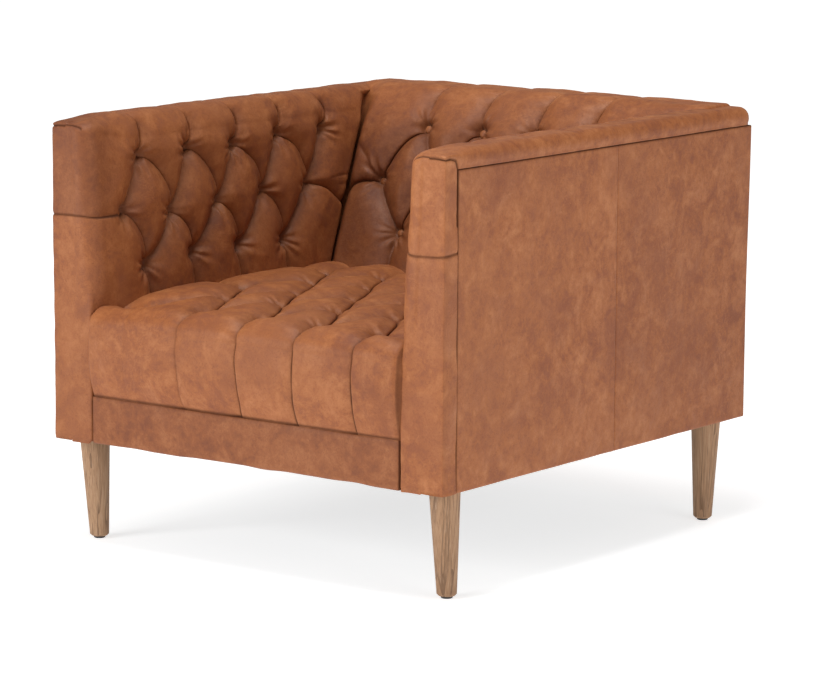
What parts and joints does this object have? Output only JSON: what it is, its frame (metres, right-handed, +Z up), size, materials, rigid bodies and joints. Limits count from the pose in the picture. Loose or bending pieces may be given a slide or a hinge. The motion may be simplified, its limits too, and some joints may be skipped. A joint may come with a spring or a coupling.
{
  "type": "upholstered armchair",
  "caption": "Low square club armchair: deep-buttoned leather arms, back and tight seat on a hidden timber frame, with short tapered wooden legs.",
  "frame": {"origin": "floor level, at the centre of the footprint", "axes": "+Z up, -Y towards the front of the chair, +X to the right for someone who faces it"},
  "size_m": [0.794, 0.878, 0.71],
  "materials": {
    "hardwood_frame": "planed, unfinished",
    "leg_wood": "satin, open grain",
    "leather": "waxed aniline, semi-matt",
    "button_leather": "waxed aniline, semi-matt",
    "foam": "open-cell foam",
    "wadding": "fibre wadding",
    "jute": "coarse weave",
    "twine": "waxed twine",
    "board": "grey-brown fibreboard",
    "dust_cloth": "black non-woven",
    "spring_steel": "oiled wire",
    "zinc_steel": "zinc plated",
    "glide_plastic": "black nylon"
  },
  "bodies": {
    "root": {"arm_tack_rails": "hardwood_frame", "arm_uprights": "hardwood_frame", "arm_webbing": "jute", "back_board": "board", "back_buttons": "button_leather", "back_foam": "foam", "back_stiles": "hardwood_frame", "back_tack_rail": "hardwood_frame", "back_top_rail": "hardwood_frame", "back_wadding": "wadding", "back_webbing": "jute", "block_screws": "zinc_steel", "corner_blocks": "hardwood_frame", "dust_cover": "dust_cloth", "frame_dowels": "hardwood_frame", "front_rail": "hardwood_frame", "front_rail_cover": "leather", "front_wadding": "wadding", "hanger_bolts": "zinc_steel", "inside_back_cover": "leather", "left_arm_buttons": "button_leather", "left_arm_cover": "leather", "left_arm_foam": "foam", "left_arm_top_rail": "hardwood_frame", "left_front_leg": "leg_wood", "left_front_post": "hardwood_frame", "left_outside_back_panel": "leather", "left_outside_front_panel": "leather", "left_outside_rear_panel": "leather", "left_rear_leg": "leg_wood", "left_rear_post": "hardwood_frame", "left_seat_rail": "hardwood_frame", "left_side_board": "board", "leg_glides": "glide_plastic", "rear_rail": "hardwood_frame", "right_arm_buttons": "button_leather", "right_arm_cover": "leather", "right_arm_foam": "foam", "right_arm_top_rail": "hardwood_frame", "right_front_leg": "leg_wood", "right_front_post": "hardwood_frame", "right_outside_back_panel": "leather", "right_outside_front_panel": "leather", "right_outside_rear_panel": "leather", "right_rear_leg": "leg_wood", "right_rear_post": "hardwood_frame", "right_seat_rail": "hardwood_frame", "right_side_board": "board", "seat_buttons": "button_leather", "seat_cover": "leather", "seat_foam": "foam", "side_wadding": "wadding", "sinuous_springs": "spring_steel", "spring_clips": "spring_steel", "spring_hessian": "jute", "spring_rail": "hardwood_frame", "tee_nuts": "zinc_steel", "tufting_twines": "twine"}
  },
  "joints": []
}
